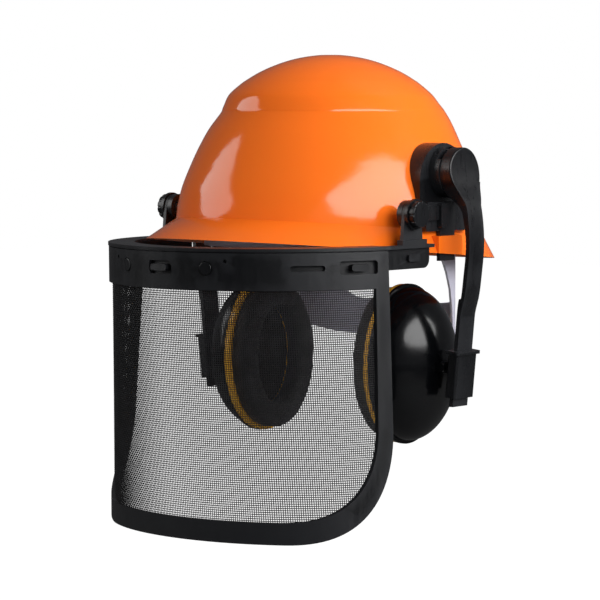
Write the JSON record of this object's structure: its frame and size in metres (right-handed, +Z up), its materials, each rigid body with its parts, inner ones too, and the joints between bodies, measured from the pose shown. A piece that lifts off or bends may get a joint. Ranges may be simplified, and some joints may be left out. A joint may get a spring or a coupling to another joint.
{
  "type": "hard hat with mesh visor and ear defenders",
  "caption": "Forestry hard hat: brimmed shell on a cradle and headband, a flip-up wire mesh visor on side pivots, and ear defenders on hinged arms.",
  "frame": {"origin": "centre of the head's place inside the headband, level with the brim's lower edge over the ears", "axes": "+X to the wearer's left, +Y to the back of the head, +Z up along the head"},
  "size_m": [0.2574, 0.3202, 0.329],
  "materials": {
    "shell_orange": "smooth injection-moulded gloss",
    "harness_plastic": "satin",
    "brow_foam": "soft perforated foam",
    "black_plastic": "satin moulded",
    "black_mesh": "black-coated woven wire",
    "steel": "plain",
    "cup_gloss": "high gloss",
    "ring_yellow": "satin gloss",
    "cushion_skin": "soft vinyl skin",
    "ear_foam": "open-cell foam"
  },
  "bodies": {
    "helmet": {"shell": "shell_orange", "crown_cradle": "harness_plastic", "hanger_key_1": "harness_plastic", "hanger_key_2": "harness_plastic", "hanger_key_3": "harness_plastic", "hanger_key_4": "harness_plastic", "headband": "harness_plastic", "brow_pad": "brow_foam", "nape_lock": "black_plastic", "left_adapter": "black_plastic", "right_adapter": "black_plastic", "left_visor_bar": "black_plastic", "right_visor_bar": "black_plastic", "left_pivot_pin": "steel", "right_pivot_pin": "steel", "left_hub_screw": "steel", "right_hub_screw": "steel"},
    "visor": {"visor_carrier": "black_plastic", "visor_frame": "black_plastic", "visor_mesh": "black_mesh", "visor_studs": "black_plastic", "left_knob": "black_plastic", "right_knob": "black_plastic"},
    "left_swing_hub": {"left_hub": "black_plastic", "left_spread_pin": "steel"},
    "left_arm_body": {"left_arm": "black_plastic"},
    "left_slider_body": {"left_slider": "black_plastic"},
    "left_yoke_body": {"left_yoke": "black_plastic"},
    "left_ear_cup": {"left_cup": "cup_gloss", "left_base_ring": "ring_yellow", "left_cushion": "cushion_skin", "left_foam": "ear_foam"},
    "right_swing_hub": {"right_hub": "black_plastic", "right_spread_pin": "steel"},
    "right_arm_body": {"right_arm": "black_plastic"},
    "right_slider_body": {"right_slider": "black_plastic"},
    "right_yoke_body": {"right_yoke": "black_plastic"},
    "right_ear_cup": {"right_cup": "cup_gloss", "right_base_ring": "ring_yellow", "right_cushion": "cushion_skin", "right_foam": "ear_foam"}
  },
  "joints": [
    {"name": "visor_flip", "type": "hinge", "parent": "helmet", "child": "visor", "pos_m": [0, -0.047, 0.029], "axis": [-1, 0, 0], "range_deg": [0, 100]},
    {"name": "left_swing", "type": "hinge", "parent": "helmet", "child": "left_swing_hub", "pos_m": [0.1045, 0.002, 0.057], "axis": [1, 0, 0], "range_deg": [-12, 3]},
    {"name": "left_spread", "type": "hinge", "parent": "left_swing_hub", "child": "left_arm_body", "pos_m": [0.103, 0.002, 0.0705], "axis": [0, -1, 0], "range_deg": [0, 28], "stiffness_Nm_per_rad": 2, "springref_deg": -5.73},
    {"name": "left_height", "type": "slide", "parent": "left_arm_body", "child": "left_slider_body", "axis": [0.0995, 0, 0.995], "range_m": [0, 0.018]},
    {"name": "left_swivel", "type": "hinge", "parent": "left_slider_body", "child": "left_yoke_body", "pos_m": [0.1046, 0.002, -0.079], "axis": [1, 0, 0], "range_deg": [-15, 15]},
    {"name": "left_tilt", "type": "hinge", "parent": "left_yoke_body", "child": "left_ear_cup", "pos_m": [0.1046, 0.002, -0.079], "axis": [0, 1, 0], "range_deg": [-8, 8]},
    {"name": "right_swing", "type": "hinge", "parent": "helmet", "child": "right_swing_hub", "pos_m": [-0.1045, 0.002, 0.057], "axis": [1, 0, 0], "range_deg": [-12, 3]},
    {"name": "right_spread", "type": "hinge", "parent": "right_swing_hub", "child": "right_arm_body", "pos_m": [-0.103, 0.002, 0.0705], "axis": [0, 1, 0], "range_deg": [0, 28], "stiffness_Nm_per_rad": 2, "springref_deg": -5.73},
    {"name": "right_height", "type": "slide", "parent": "right_arm_body", "child": "right_slider_body", "axis": [-0.0995, 0, 0.995], "range_m": [0, 0.018]},
    {"name": "right_swivel", "type": "hinge", "parent": "right_slider_body", "child": "right_yoke_body", "pos_m": [-0.1046, 0.002, -0.079], "axis": [1, 0, 0], "range_deg": [-15, 15]},
    {"name": "right_tilt", "type": "hinge", "parent": "right_yoke_body", "child": "right_ear_cup", "pos_m": [-0.1046, 0.002, -0.079], "axis": [0, -1, 0], "range_deg": [-8, 8]}
  ]
}
